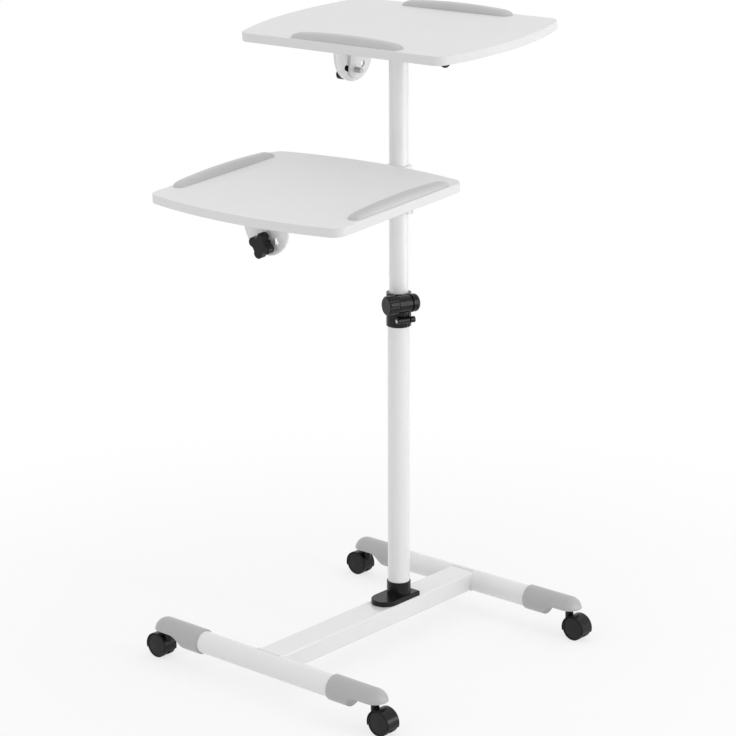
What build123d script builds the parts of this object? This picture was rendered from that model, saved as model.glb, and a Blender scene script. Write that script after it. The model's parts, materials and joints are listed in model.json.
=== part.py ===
from build123d import *
import os

# Driving sizes, millimetres and degrees. The column stands on X = Y = 0 and the floor is Z = 0.

# Casters: two wheels under one hood, trailing outwards from the stem
WHEEL_D = 38.0
WHEEL_T = 10.0
WHEEL_GAP = 0.5
WHEEL_EDGE = 1.2
RIM_W = 3.0
RIM_STEP = 0.8
AXLE_D = 6.0
WEB_T = 5.2
HOOD_GAP = 0.8
HOOD_SKIN = 1.4
HOOD_EDGE = 1.0
HOOD_DROP = 6.0
TRAIL = 15.0
STEM_D = 8.0
STEM_LEN = 12.0
STEM_SHOW = 9.3
BOSS_D = 13.0
BOSS_GAP = 0.4
RUN_FIT = 0.05

# Base: two round rails with end caps, joined by a rectangular crossbar
RAIL_SEEN = 266.0
RAIL_D = 35.0
RAIL_WALL = 2.0
RAIL_SPAN = 478.0
RAIL_BEHIND = 170.0
BAR_W = 47.4
BAR_H = 30.5
BAR_WALL = 2.5
BAR_BELOW = 0.5
BAR_EDGE = 3.0
CAP_GRIP = 30.0
CAP_SKIN = 2.5
CAP_FIT = 0.1
CAP_EDGE = 1.5
CAP_REACH = 81.0
CAP_UNDER = 2.0
STEP_REACH = 44.0

# Column: foot, lower tube, clamp collar and mast
FOOT_W = 44.0
FOOT_NOSE = 56.0
FOOT_TAIL = 26.0
FOOT_T = 8.0
FOOT_FLOOR = 3.0
FOOT_EDGE = 1.2
FOOT_RING_T = 1.6
FOOT_RING_H = 21.0
LOWER_D = 35.0
LOWER_WALL = 1.8
LOWER_LEN = 474.0
MAST_D = 30.0
MAST_WALL = 1.6
MAST_LEN = 678.0
MAST_INSERT = 280.0
GUIDE_LEN = 30.0
GUIDE_LIP = 4.0
COLLAR_WALL = 2.0
COLLAR_GRIP = 27.0
COLLAR_EDGE = 1.0
CLAMP_RISE = 13.0
CLAMP_TURN = 20.0
CLAMP_OUT = 23.0
CLAMP_D = 26.6
CLAMP_LEFT = 17.4
CLAMP_END_D = 28.4
CLAMP_RIGHT = 19.5
CLAMP_ROUND = 6.0
CLAMP_SCREW_D = 8.0
SLIT = 2.0
SLIT_SIDE = 6.0
LUG_D = 10.0
LUG_LEN = 30.0
LUG_OUT = 21.5
LUG_RISE = 13.0
KNOB_D = 31.0
KNOB_T = 18.0
KNOB_GAP = 0.6
KNOB_BEVEL = 2.0
FLUTES = 10
FLUTE_R = 2.6

# Shelves: a board with two straight sides, which carry ridges, and two bowed sides
BOARD_T = 14.0
BOARD_CORNER = 20.0
BOARD_EDGE = 1.5
UPPER_STRAIGHT = 386.0
UPPER_ACROSS = 286.0
UPPER_BOW = 28.0
UPPER_SHIFT = 2.0
LOWER_STRAIGHT = 277.0
LOWER_ACROSS = 372.0
LOWER_BOW = 20.0
LOWER_REACH = 203.7
LOWER_SHIFT = 7.0
SHELF_STEP = 182.0
SHELF_LEAN = 4.75
RIDGE_LEN = 212.0
RIDGE_W = 22.0
RIDGE_H = 11.0
RIDGE_ROUND = 6.0
RIDGE_RUN = 22.0
RIDGE_FLARE = 5.0
RIDGE_EDGE = 3.0
RIDGE_SHIFT = 9.0
RIDGE_SINK = 1.0

# Tilt heads: a bar under the board, a slotted plate on the board and a tab with a clamp bolt on the bar
UPPER_DROP = 27.0
LOWER_DROP = 12.5
TUBE_D = 20.0
TUBE_WALL = 1.5
PIN_D = 8.0
PIN_HEAD = 3.0
PIN_HEAD_D = 14.0
HEAD_GAP = 0.4
PLATE_OUT = 94.0
PLATE_T = 4.0
PLATE_W = 85.0
PLATE_RIM = 18.0
FLANGE = 22.0
FLANGE_ROUND = 4.0
SLOT_R = 35.0
SLOT_W = 9.0
TILT_MAX = 33.0
TAB_W = 26.0
TAB_T = 4.0
BOLT_D = 8.0
BOLT_PAST = 12.0
EAR_OUT = 75.0
EAR_W = 26.0
EAR_SPAN = 58.0
EAR_NOTCH = 26.0
END_CAP_D = 24.0
END_CAP_LEN = 8.0
END_CAP_PLUG = 10.0
STAR_D = 41.0
STAR_LOBE = 7.5
LOBES = 4
STAR_HUB_D = 27.0
STAR_T = 12.0
STAR_WEB = 4.0
STAR_EDGE = 2.0
UPPER_TURN = 37.0
LOWER_TURN = 17.0
NECK_D = 18.0
NECK_LEN = 6.0
SLEEVE_WALL = 5.0
SLEEVE_ABOVE = 9.5
SLEEVE_BELOW = 63.0
CLEAT_REACH = 26.0
CLEAT_W = 14.0
CLEAT_H = 22.0
CLEAT_ROUND = 3.0

os.makedirs("parts", exist_ok=True)

wheel_r = WHEEL_D / 2
hood_r = wheel_r + HOOD_GAP + HOOD_SKIN
hood_half = WEB_T / 2 + WHEEL_GAP + WHEEL_T
rail_r = RAIL_D / 2
cap_r = rail_r + CAP_SKIN
arm_z = wheel_r + hood_r + STEM_SHOW
rail_z = arm_z - CAP_UNDER
bar_top = rail_z + rail_r - BAR_BELOW
rail_end = RAIL_SEEN / 2 + CAP_GRIP
stem_x = RAIL_SEEN / 2 + CAP_REACH
axle_x = stem_x + TRAIL
near_y = RAIL_BEHIND - RAIL_SPAN
lower_r = LOWER_D / 2
mast_r = MAST_D / 2
lower_foot = bar_top + FOOT_FLOOR
lower_top = lower_foot + LOWER_LEN
collar_bottom = lower_top - COLLAR_GRIP
clamp_z = lower_top + CLAMP_RISE
collar_top = clamp_z + CLAMP_D / 2
collar_r = lower_r + COLLAR_WALL
mast_foot = lower_top - MAST_INSERT
upper_pivot = mast_foot + MAST_LEN
arm_axis = upper_pivot - SHELF_STEP

pieces = {}


def rod_x(r, x0, x1, y=0.0, z=0.0):
    return Pos((x0 + x1) / 2, y, z) * Rot(0, 90, 0) * Cylinder(r, abs(x1 - x0))


def rod_y(r, y0, y1, x=0.0, z=0.0):
    return Pos(x, (y0 + y1) / 2, z) * Rot(90, 0, 0) * Cylinder(r, abs(y1 - y0))


def rod_z(r, z0, z1, x=0.0, y=0.0):
    return Pos(x, y, (z0 + z1) / 2) * Cylinder(r, abs(z1 - z0))


def tube_z(r, wall, z0, z1):
    return rod_z(r, z0, z1) - rod_z(r - wall, z0, z1)


def slab_x(face, x0, x1):
    """A face drawn in Y and Z, thickened along X."""
    return Plane.YZ.offset(x0) * extrude(face, x1 - x0)


def slab_y(face, half):
    """A face drawn in X and Z, thickened both ways along Y."""
    return Plane.XZ * extrude(face, half, both=True)


# Base
def rail(y):
    outer = rod_x(rail_r, -rail_end, rail_end, y, rail_z)
    return outer - rod_x(rail_r - RAIL_WALL, -rail_end, rail_end, y, rail_z)


def crossbar():
    section = RectangleRounded(BAR_W, BAR_H, BAR_EDGE)
    section -= RectangleRounded(BAR_W - 2 * BAR_WALL, BAR_H - 2 * BAR_WALL, BAR_EDGE / 2)
    bar = Pos(0, RAIL_BEHIND, bar_top - BAR_H / 2) * (Plane.XZ * extrude(section, RAIL_SPAN))
    for y in (near_y, RAIL_BEHIND):
        bar -= rod_x(rail_r, -BAR_W, BAR_W, y, rail_z)
    return bar


def end_cap():
    """Sleeve over the rail with a domed nose above the stem and a hollow for the caster to swing in."""
    seam_x = RAIL_SEEN / 2
    wall_x = stem_x - STEP_REACH
    past_x = stem_x + 2 * cap_r
    low = rail_z - 2 * cap_r
    bend = arm_z - (rail_z - cap_r)
    body = rod_x(cap_r, seam_x, stem_x, 0, rail_z)
    body = chamfer(body.edges().sort_by(Axis.X)[0], CAP_EDGE)
    body += Pos(stem_x, 0, rail_z) * Sphere(cap_r)
    bend_x = wall_x + bend
    bend_z = arm_z - bend
    hollow = Polyline((wall_x, bend_z), (wall_x, low), (past_x, low), (past_x, arm_z), (bend_x, arm_z))
    hollow += RadiusArc((bend_x, arm_z), (wall_x, bend_z), -bend)
    body -= slab_y(make_face(hollow), 2 * cap_r)
    body -= rod_x(rail_r + CAP_FIT, seam_x - 1, rail_end, 0, rail_z)
    return body - rod_z(STEM_D / 2 + RUN_FIT, arm_z - 1, arm_z + STEM_LEN + BOSS_GAP, stem_x)


# Casters
def caster_frame():
    """Hood over both wheels with a web between them, a boss and a stem."""
    hood = rod_y(hood_r, -hood_half, hood_half, axle_x, wheel_r)
    hood = chamfer(hood.edges().filter_by(GeomType.CIRCLE), HOOD_EDGE)
    hood += rod_z(BOSS_D / 2, wheel_r + hood_r / 2, arm_z - BOSS_GAP, stem_x)
    for side in (-1, 1):
        hood -= rod_y(wheel_r + HOOD_GAP, side * WEB_T / 2, side * 2 * hood_half, axle_x, wheel_r)
    hood -= Pos(axle_x, 0, wheel_r - HOOD_DROP - hood_r) * Box(4 * hood_r, 4 * hood_half, 2 * hood_r)
    hood -= rod_y(AXLE_D / 2 + RUN_FIT, -hood_half, hood_half, axle_x, wheel_r)
    return hood + rod_z(STEM_D / 2, arm_z - BOSS_GAP, arm_z + STEM_LEN, stem_x)


def caster_wheels():
    """Two discs, each with a low cone inside a raised rim, on one axle."""
    axle_r = AXLE_D / 2
    dish_r = wheel_r - RIM_W
    inner = WEB_T / 2 + WHEEL_GAP
    outer = inner + WHEEL_T
    dish = outer - RIM_STEP
    section = Polyline((0, 0), (axle_r, 0), (axle_r, inner), (wheel_r, inner), (wheel_r, outer))
    section += Polyline((wheel_r, outer), (dish_r, outer), (dish_r, dish), (0, outer), (0, 0))
    half = make_face(section)
    half = chamfer(half.vertices().group_by(Axis.X)[-1], WHEEL_EDGE)
    return Pos(axle_x, 0, wheel_r) * revolve(half + mirror(half, Plane.XZ), Axis.Y)


# Column
def foot():
    nose = FOOT_NOSE - FOOT_W / 2
    tail = Pos(0, (FOOT_TAIL - nose) / 2) * Rectangle(FOOT_W, FOOT_TAIL + nose)
    plate = extrude(tail + Pos(0, -nose) * Circle(FOOT_W / 2), FOOT_T)
    plate = chamfer(plate.faces().sort_by(Axis.Z)[-1].edges(), FOOT_EDGE)
    ring = rod_z(lower_r + FOOT_RING_T, 0, FOOT_T + FOOT_RING_H)
    ring = chamfer(ring.edges().sort_by(Axis.Z)[-1], FOOT_RING_T / 2)
    return Pos(0, 0, bar_top) * (plate + ring) - rod_z(lower_r + CAP_FIT, lower_foot, lower_top)


def in_clamp(shape):
    return Rot(0, 0, -CLAMP_TURN) * shape


def collar():
    body = rod_z(collar_r, collar_bottom, collar_top)
    body = chamfer(body.edges().sort_by(Axis.Z)[0], COLLAR_EDGE)
    end = rod_y(CLAMP_END_D / 2, 0, CLAMP_RIGHT, CLAMP_OUT, clamp_z)
    end = fillet(end.edges().filter_by(GeomType.CIRCLE).sort_by(Axis.Y)[-1], CLAMP_ROUND)
    end -= rod_y(CLAMP_END_D, 0, SLIT_SIDE, CLAMP_OUT, clamp_z)
    body += end + rod_y(CLAMP_D / 2, -CLAMP_LEFT, SLIT_SIDE, CLAMP_OUT, clamp_z)
    body += rod_y(LUG_D / 2, -LUG_LEN / 2, LUG_LEN / 2, LUG_OUT, collar_bottom + LUG_RISE)
    body -= rod_z(lower_r + CAP_FIT, collar_bottom - 1, lower_top)
    body -= rod_z(mast_r + RUN_FIT, lower_top - 1, collar_top + CLAMP_D)
    reach = CLAMP_OUT + CLAMP_END_D
    body -= Pos(reach / 2, SLIT_SIDE, lower_top) * Box(reach, SLIT, 4 * COLLAR_GRIP)
    return in_clamp(body - rod_y(CLAMP_SCREW_D / 2 + RUN_FIT, -LUG_LEN, LUG_LEN, CLAMP_OUT, clamp_z))


def collar_knob():
    """Fluted knob with bevelled ends, on the clamp screw."""
    grip = Circle(KNOB_D / 2) - PolarLocations(KNOB_D / 2 + FLUTE_R / 2, FLUTES) * Circle(FLUTE_R)
    disc = chamfer(rod_z(KNOB_D / 2, 0, KNOB_T).edges().filter_by(GeomType.CIRCLE), KNOB_BEVEL)
    knob = Rot(90, 0, 0) * (extrude(grip, KNOB_T) & disc)
    back = -CLAMP_LEFT - KNOB_GAP
    screw = rod_y(CLAMP_SCREW_D / 2, back - KNOB_T / 2, CLAMP_RIGHT, CLAMP_OUT, clamp_z)
    return in_clamp(Pos(CLAMP_OUT, back, clamp_z) * knob + screw)


def mast_tube():
    """Tube with a saddle at its top for the upper bar."""
    tube = tube_z(mast_r, MAST_WALL, mast_foot, upper_pivot)
    return tube - rod_x(TUBE_D / 2, -mast_r, mast_r, 0, upper_pivot)


def mast_guide():
    lip = rod_z(lower_r - LOWER_WALL - CAP_FIT, mast_foot - GUIDE_LIP, mast_foot)
    return lip + rod_z(mast_r - MAST_WALL - CAP_FIT, mast_foot, mast_foot + GUIDE_LEN)


# Tilt head in its own frame: the tilt axis is X, the star knob is at the -X end and the pivot is the origin
plate_in = -PLATE_OUT + PLATE_T / 2
plate_out = -PLATE_OUT - PLATE_T / 2
tab_out = plate_in + HEAD_GAP
tab_in = tab_out + TAB_T
bar_end = EAR_OUT + PLATE_T + HEAD_GAP


def head_bar(far_end):
    return rod_x(TUBE_D / 2, tab_in, far_end) - rod_x(TUBE_D / 2 - TUBE_WALL, tab_in, far_end)


def head_tab():
    """Flat tab, as wide as the bar at the pivot and wider round the bolt."""
    ends = Circle(TUBE_D / 2) + Pos(0, -SLOT_R) * Circle(TAB_W / 2)
    face = make_hull(ends.edges())
    return slab_x(face - Pos(0, -SLOT_R) * Circle(BOLT_D / 2 + RUN_FIT), tab_out, tab_in)


def head_pin():
    head_in = plate_out - HEAD_GAP
    return rod_x(PIN_D / 2, head_in, tab_out) + rod_x(PIN_HEAD_D / 2, head_in - PIN_HEAD, head_in)


def flange(width, drop):
    """Edge of a bracket folded along +X, screwed up against the board."""
    plan = Pos(FLANGE / 2, 0) * Rectangle(FLANGE, width)
    plan = fillet(plan.vertices().group_by(Axis.X)[-1], FLANGE_ROUND)
    return Pos(0, 0, drop - PLATE_T) * extrude(plan, PLATE_T)


def slot_plate(drop):
    """Plate with an arched slot for the clamp bolt, folded away from the bar at its top."""
    half = PLATE_W / 2
    low = half - SLOT_R - PLATE_RIM
    edge = Polyline((half, low), (half, drop), (-half, drop), (-half, low))
    face = make_face(edge + ThreePointArc((-half, low), (0, low - half), (half, low)))
    face -= SlotArc(CenterArc((0, 0), SLOT_R, 270 - TILT_MAX, 2 * TILT_MAX), SLOT_W)
    plate = slab_x(face - Circle(PIN_D / 2 + RUN_FIT), plate_out, plate_in)
    return plate + Pos(plate_out, 0, 0) * Rot(0, 0, 180) * flange(PLATE_W, drop)


def ear(drop):
    """Plate that the bar turns in, with a folded foot on each side of the bar."""
    face_x = EAR_OUT + PLATE_T
    foot_w = (EAR_SPAN - EAR_NOTCH) / 2
    outline = Circle(EAR_W / 2) + Pos(0, drop - PLATE_T / 2) * Rectangle(EAR_SPAN, PLATE_T)
    face = make_hull(outline.edges()) & Pos(0, drop - EAR_SPAN) * Rectangle(2 * EAR_SPAN, 2 * EAR_SPAN)
    body = slab_x(face - Circle(TUBE_D / 2 + RUN_FIT), EAR_OUT, face_x)
    for side in (-1, 1):
        body += Pos(face_x, side * (EAR_NOTCH + foot_w) / 2, 0) * flange(foot_w, drop)
    return body


def end_cap_plug():
    face = rod_x(END_CAP_D / 2, bar_end, bar_end + END_CAP_LEN)
    face = chamfer(face.edges().filter_by(GeomType.CIRCLE).sort_by(Axis.X)[-1], END_CAP_LEN / 4)
    return face + rod_x(TUBE_D / 2 - TUBE_WALL - CAP_FIT, bar_end - END_CAP_PLUG, bar_end)


def star_knob(turn):
    """Four lobed knob, its neck and the bolt through the slot and the tab."""
    neck_in = plate_out - HEAD_GAP
    neck_out = neck_in - NECK_LEN
    lobes = PolarLocations(STAR_D / 2 - STAR_LOBE, LOBES, start_angle=turn)
    star = Circle(STAR_HUB_D / 2) + lobes * Circle(STAR_LOBE)
    grip = extrude(fillet(star.vertices(), STAR_WEB), STAR_T)
    grip = chamfer(grip.faces().sort_by(Axis.Z)[0].edges(), STAR_EDGE)
    grip = Plane.YZ.offset(neck_out - STAR_T) * grip
    shank = rod_x(NECK_D / 2, neck_out, neck_in) + rod_x(BOLT_D / 2, neck_out, tab_in + BOLT_PAST)
    return Pos(0, 0, -SLOT_R) * (grip + shank)


# Boards and ridges
def board(straight, across, bow, drop):
    h, w = straight / 2, across / 2
    outline = Line((-h, -w), (h, -w)) + ThreePointArc((h, -w), (h + bow, 0), (h, w))
    outline += Line((h, w), (-h, w)) + ThreePointArc((-h, w), (-h - bow, 0), (-h, -w))
    plan = make_face(outline)
    slab = extrude(fillet(plan.vertices(), BOARD_CORNER), BOARD_T)
    rims = slab.faces().sort_by(Axis.Z)
    slab = fillet(rims[0].edges() + rims[-1].edges(), BOARD_EDGE)
    for side in (-1, 1):
        pocket = extrude(SlotOverall(RIDGE_LEN, RIDGE_W), RIDGE_SINK + BOARD_T)
        slab -= Pos(RIDGE_SHIFT, ridge_y(across, side), BOARD_T - RIDGE_SINK) * pocket
    return Pos(0, 0, drop) * slab


def ridge_y(across, side):
    return side * (across / 2 - RIDGE_EDGE - RIDGE_W / 2)


def ridge(across, side, drop):
    """Long low hump: round in plan, rounded across and running out in a small flare at each end."""
    top = RIDGE_SINK + RIDGE_H
    half = RIDGE_LEN / 2
    flat = half - RIDGE_RUN
    bend = half - RIDGE_FLARE
    bend_z = RIDGE_SINK + RIDGE_H * RIDGE_FLARE / RIDGE_RUN
    hump = extrude(SlotOverall(RIDGE_LEN, RIDGE_W), top)
    arch = Line((-flat, top), (flat, top))
    for end in (-1, 1):
        arch += TangentArc((end * flat, top), (end * bend, bend_z), tangent=(end, 0))
        arch += TangentArc((end * half, RIDGE_SINK), (end * bend, bend_z), tangent=(-end, 0))
    arch += Polyline((-half, RIDGE_SINK), (-half, 0), (half, 0), (half, RIDGE_SINK))
    hump &= slab_y(make_face(arch), RIDGE_W)
    across_face = Pos(0, top / 2) * Rectangle(RIDGE_W, top)
    across_face = fillet(across_face.vertices().sort_by(Axis.Y)[-2:], RIDGE_ROUND)
    hump &= slab_x(across_face, -half, half)
    return Pos(RIDGE_SHIFT, ridge_y(across, side), drop + BOARD_T - RIDGE_SINK) * hump


def upper_head(shape):
    return Pos(UPPER_SHIFT, 0, upper_pivot) * shape


def upper_shelf(shape):
    return upper_head(Rot(SHELF_LEAN, 0, 0) * shape)


def lower_head(shape):
    return Pos(0, 0, arm_axis) * Rot(SHELF_LEAN, 0, 0) * Rot(0, 0, 90) * Pos(-LOWER_REACH, 0, 0) * shape


def lower_shelf(shape):
    return lower_head(Pos(-LOWER_SHIFT, 0, 0) * shape)


def lower_sleeve():
    """Split sleeve on the mast with a cleat for its clamp bolt."""
    outer = mast_r + SLEEVE_WALL
    z0, z1 = arm_axis - SLEEVE_BELOW, arm_axis + SLEEVE_ABOVE
    plan = Pos(CLEAT_REACH - CLEAT_REACH / 2, 0) * RectangleRounded(CLEAT_REACH, CLEAT_W, CLEAT_ROUND)
    sleeve = rod_z(outer, z0, z1) + Pos(0, 0, z0) * extrude(plan, CLEAT_H)
    sleeve -= Pos(CLEAT_REACH, 0, z0) * Box(2 * CLEAT_REACH - mast_r, SLIT, 4 * CLEAT_H)
    return sleeve - rod_z(mast_r + RUN_FIT, z0 - 1, z1 + 1)


def lower_arm_bar():
    bar = lower_head(head_bar(LOWER_REACH))
    return bar - rod_z(mast_r + SLEEVE_WALL, arm_axis - SLEEVE_BELOW, arm_axis + SLEEVE_BELOW)


def at_corner(shape, side, y):
    turned = shape if side > 0 else Rot(0, 0, 180) * shape
    return Pos(0, y, 0) * turned


pieces["rail_near"] = rail(near_y)
pieces["rail_far"] = rail(RAIL_BEHIND)
pieces["crossbar"] = crossbar()
for depth, y in (("near", near_y), ("far", RAIL_BEHIND)):
    for hand, side in (("left", -1), ("right", 1)):
        corner = depth + "_" + hand
        pieces["cap_" + corner] = at_corner(end_cap(), side, y)
        pieces["caster_" + corner] = at_corner(caster_frame(), side, y)
        pieces["wheels_" + corner] = at_corner(caster_wheels(), side, y)
pieces["foot"] = foot()
pieces["lower_tube"] = tube_z(lower_r, LOWER_WALL, lower_foot, lower_top)
pieces["collar"] = collar()
pieces["collar_knob"] = collar_knob()
pieces["mast_tube"] = mast_tube()
pieces["mast_guide"] = mast_guide()
pieces["upper_bar"] = upper_head(head_bar(bar_end))
pieces["upper_tab"] = upper_head(head_tab())
pieces["upper_pin"] = upper_head(head_pin())
pieces["upper_end_cap"] = upper_head(end_cap_plug())
pieces["upper_knob"] = upper_head(star_knob(UPPER_TURN))
pieces["upper_board"] = upper_shelf(board(UPPER_STRAIGHT, UPPER_ACROSS, UPPER_BOW, UPPER_DROP))
pieces["upper_ridge_front"] = upper_shelf(ridge(UPPER_ACROSS, -1, UPPER_DROP))
pieces["upper_ridge_back"] = upper_shelf(ridge(UPPER_ACROSS, 1, UPPER_DROP))
pieces["upper_plate"] = upper_shelf(slot_plate(UPPER_DROP))
pieces["upper_ear"] = upper_shelf(ear(UPPER_DROP))
pieces["lower_sleeve"] = lower_sleeve()
pieces["lower_bar"] = lower_arm_bar()
pieces["lower_tab"] = lower_head(head_tab())
pieces["lower_pin"] = lower_head(head_pin())
pieces["lower_knob"] = lower_head(star_knob(LOWER_TURN))
pieces["lower_board"] = lower_shelf(board(LOWER_STRAIGHT, LOWER_ACROSS, LOWER_BOW, LOWER_DROP))
pieces["lower_ridge_left"] = lower_shelf(ridge(LOWER_ACROSS, 1, LOWER_DROP))
pieces["lower_ridge_right"] = lower_shelf(ridge(LOWER_ACROSS, -1, LOWER_DROP))
pieces["lower_plate"] = lower_head(slot_plate(LOWER_DROP))
pieces["lower_ear"] = lower_head(ear(LOWER_DROP))

# The finished part stands on the floor with the middle of its box at X = Y = 0
extent = Compound(list(pieces.values())).bounding_box()
centre = Pos(0, -(extent.min.Y + extent.max.Y) / 2, 0)
for node, shape in pieces.items():
    export_step(centre * shape, "parts/" + node + ".step")
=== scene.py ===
import json
import math

import bmesh
import bpy
from bpy.props import FloatProperty, FloatVectorProperty, IntProperty, PointerProperty
from mathutils import Matrix, Vector


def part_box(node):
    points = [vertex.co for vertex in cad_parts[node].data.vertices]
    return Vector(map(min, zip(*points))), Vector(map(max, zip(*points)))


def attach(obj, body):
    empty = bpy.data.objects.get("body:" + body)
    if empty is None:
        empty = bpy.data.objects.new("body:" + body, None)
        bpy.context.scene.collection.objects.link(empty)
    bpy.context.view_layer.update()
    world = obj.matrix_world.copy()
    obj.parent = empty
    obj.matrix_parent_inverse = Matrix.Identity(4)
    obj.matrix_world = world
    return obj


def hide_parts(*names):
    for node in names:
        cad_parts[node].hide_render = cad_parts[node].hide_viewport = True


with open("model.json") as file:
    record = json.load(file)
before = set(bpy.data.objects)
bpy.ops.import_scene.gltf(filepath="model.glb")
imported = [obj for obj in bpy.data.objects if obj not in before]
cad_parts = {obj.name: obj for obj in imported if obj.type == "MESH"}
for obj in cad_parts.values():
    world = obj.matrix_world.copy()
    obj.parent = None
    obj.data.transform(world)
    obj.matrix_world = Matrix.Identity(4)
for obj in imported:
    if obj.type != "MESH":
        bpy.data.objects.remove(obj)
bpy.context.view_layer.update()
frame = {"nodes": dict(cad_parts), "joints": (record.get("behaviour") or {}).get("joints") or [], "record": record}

bl_info = {
    "name": "Portable Projector Stand",
    "version": (1, 0, 0),
    "blender": (4, 5, 0),
    "location": "3D View > Sidebar > Stand",
    "description": "Finishes, small fixings and a studio stage for a rolling projector stand",
    "category": "Object",
}

JOINTS = {joint["name"]: joint for joint in frame["joints"]}
MOUNTS = {mount["name"]: mount for mount in frame["record"]["mounts"]}
SLOT_OF = {part["node"]: part["material_slot"] for part in frame["record"]["subparts"]}
CORNERS = ("near_left", "near_right", "far_left", "far_right")
KNOBS = {"upper_knob": "upper_tilt_screw", "lower_knob": "lower_tilt_screw"}
RIDGES = {
    "upper": ("upper_ridge_front", "upper_ridge_back"),
    "lower": ("lower_ridge_left", "lower_ridge_right"),
}
COLUMN = Vector(JOINTS["lower_arm_swivel"]["pos_m"])
MM = 0.001
TURN = 2 * math.pi

# Angle between two faces from which the edge between them is sharp
SHARP_EDGE = math.radians(38)

# Cosine to a board's upright below which a surface is the board's edge
EDGE_COSINE = 0.9

# Wheels: the rings moulded in their faces, and the tread, which is rougher by the wear
RING_PITCH = 3.5 * MM
RING_CREST = 0.9
TREAD_DEPTH = 0.6 * MM
TREAD_WEAR = 0.25

# Domed screw heads, from the rim to the top: shares of the radius and of the height
SOCKET_DOME = ((1.0, 0.0), (1.0, 0.25), (0.93, 0.6), (0.75, 0.88), (0.6, 1.0))
CROSS_DOME = ((1.0, 0.0), (0.98, 0.35), (0.85, 0.75), (0.65, 1.0))

# Weld beads: how far the middle of a bead lies inside a tube, and how far a ripple swells it
BEAD_SINK = 0.4 * MM
BEAD_SWELL = 0.14

# Points round a hexagon head, a socket head, a round head, a turn of thread and a weld bead
HEX_STEPS = 72
SOCKET_STEPS = 60
ROUND_STEPS = 64
THREAD_STEPS = 28
BEAD_STEPS = 10

# Stations along a ridge, and steps round each of its upper edges
RIDGE_STATIONS = 96
RIDGE_BEND_STEPS = 8

# Points along the weld round a bar, under the upper bar and round the crossbar
BAR_WELD_STEPS = 96
MAST_WELD_STEPS = 64
CROSSBAR_WELD_STEPS = 160


# Sizes, colours and light that a user would change

def length(name, description, default):
    return FloatProperty(name=name, description=description, default=default, min=0.0, unit="LENGTH",
                         precision=5)


def colour(name, description, default):
    return FloatVectorProperty(name=name, description=description, default=default, min=0.0, max=1.0,
                               size=3, subtype="COLOR")


def share(name, description, default):
    return FloatProperty(name=name, description=description, default=default, min=0.0, max=1.0,
                         subtype="FACTOR")


def angle(name, description, degrees):
    return FloatProperty(name=name, description=description, default=math.radians(degrees), subtype="ANGLE")


def strength(name, description, default):
    return FloatProperty(name=name, description=description, default=default, min=0.0)


def power(name, description, default):
    return FloatProperty(name=name, description=description, default=default, min=0.0, unit="POWER")


def lamp_place(name, description, default):
    return FloatVectorProperty(name=name, description=description, default=default, size=3,
                               subtype="TRANSLATION", unit="LENGTH")


def lamp_panel(name, description, default):
    return FloatVectorProperty(name=name, description=description, default=default, min=0.0, size=2,
                               unit="LENGTH")


class StandFinishes(bpy.types.PropertyGroup):
    """Colours and textures of the stand's surfaces."""

    white_coat: colour("White Coat", "Powder coat on the tubes and brackets", (0.79, 0.79, 0.79))
    laminate: colour("Laminate", "Faces of the boards", (0.83, 0.83, 0.83))
    # Darker tone for every side face of the boards: partly the edge band's own colour, partly painted shade on the
    # sides
    edge_band_and_shade: colour("Edge Band", "Edges of the boards", (0.75, 0.75, 0.75))
    ridge_plastic: colour("Ridge Plastic", "Ridges on the boards", (0.56, 0.56, 0.56))
    cap_plastic: colour("Cap Plastic", "End caps of the rails", (0.44, 0.44, 0.44))
    black_plastic: colour("Black Plastic", "Collar, foot, knobs and casters", (0.008, 0.008, 0.0085))
    wheel_plastic: colour("Wheel Plastic", "Caster wheels", (0.011, 0.011, 0.0115))
    zinc: colour("Zinc", "Screws, nuts and pins", (0.42, 0.43, 0.44))
    coat_grain: length("Coat Grain", "Size of the powder coat's orange peel", 1.6 * MM)
    laminate_grain: length("Laminate Grain", "Size of the laminate's pearl texture", 0.9 * MM)
    mould_grain: length("Mould Grain", "Size of the moulded plastic's grain", 0.7 * MM)
    drift_size: length("Drift Size", "Size of the slow change of tone over a surface", 90 * MM)
    zinc_drift: length("Zinc Drift", "Size of the change of tone over the zinc", 8 * MM)


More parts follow.
